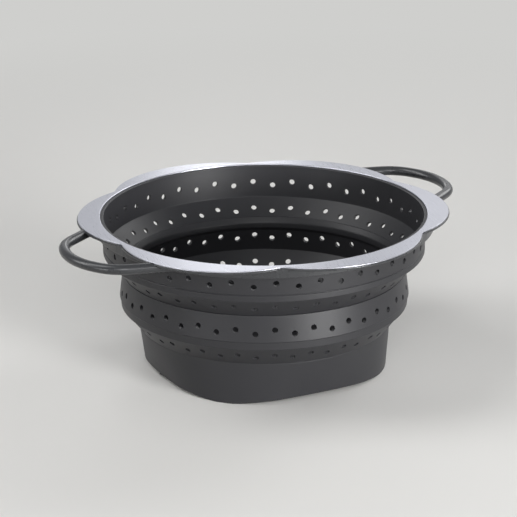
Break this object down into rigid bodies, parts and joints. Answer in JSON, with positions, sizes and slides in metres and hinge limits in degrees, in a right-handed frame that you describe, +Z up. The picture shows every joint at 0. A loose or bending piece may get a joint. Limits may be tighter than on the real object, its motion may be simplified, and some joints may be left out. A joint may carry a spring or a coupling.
{
  "type": "collapsible colander",
  "caption": "Round folding colander: a dark silicone bowl with zigzag rows of drain holes, a lobed brushed steel rim, loop handles and a soft-square foot",
  "frame": {"origin": "on the table under the middle of the bowl, at the centre of the foot", "axes": "+X runs through both loop handles, +Z is up, and +Y completes the right-handed set"},
  "size_m": [0.2868, 0.2376, 0.1005],
  "materials": {
    "silicone": "matt moulded silicone, dark grey",
    "steel_trim": "stamped sheet with a fine straight brushed grain",
    "frame_plastic": "dark grey moulded plastic, glossy on the handles"
  },
  "bodies": {
    "base": {"base_wall": "silicone", "perforated_floor": "silicone", "lower_fold_band": "silicone"},
    "middle_ring": {"middle_wall_band": "silicone", "upper_fold_band": "silicone"},
    "rim": {"upper_wall_band": "silicone", "rim_trim_ring": "steel_trim", "rim_frame": "frame_plastic", "right_handle": "frame_plastic", "left_handle": "frame_plastic"}
  },
  "joints": [
    {"name": "lower_fold", "type": "slide", "parent": "base", "child": "middle_ring", "axis": [0, 0, -1], "range_m": [0, 0.0252], "deforming": ["lower_fold_band"]},
    {"name": "upper_fold", "type": "slide", "parent": "middle_ring", "child": "rim", "axis": [0, 0, -1], "range_m": [0, 0.0236], "deforming": ["upper_fold_band"]}
  ]
}
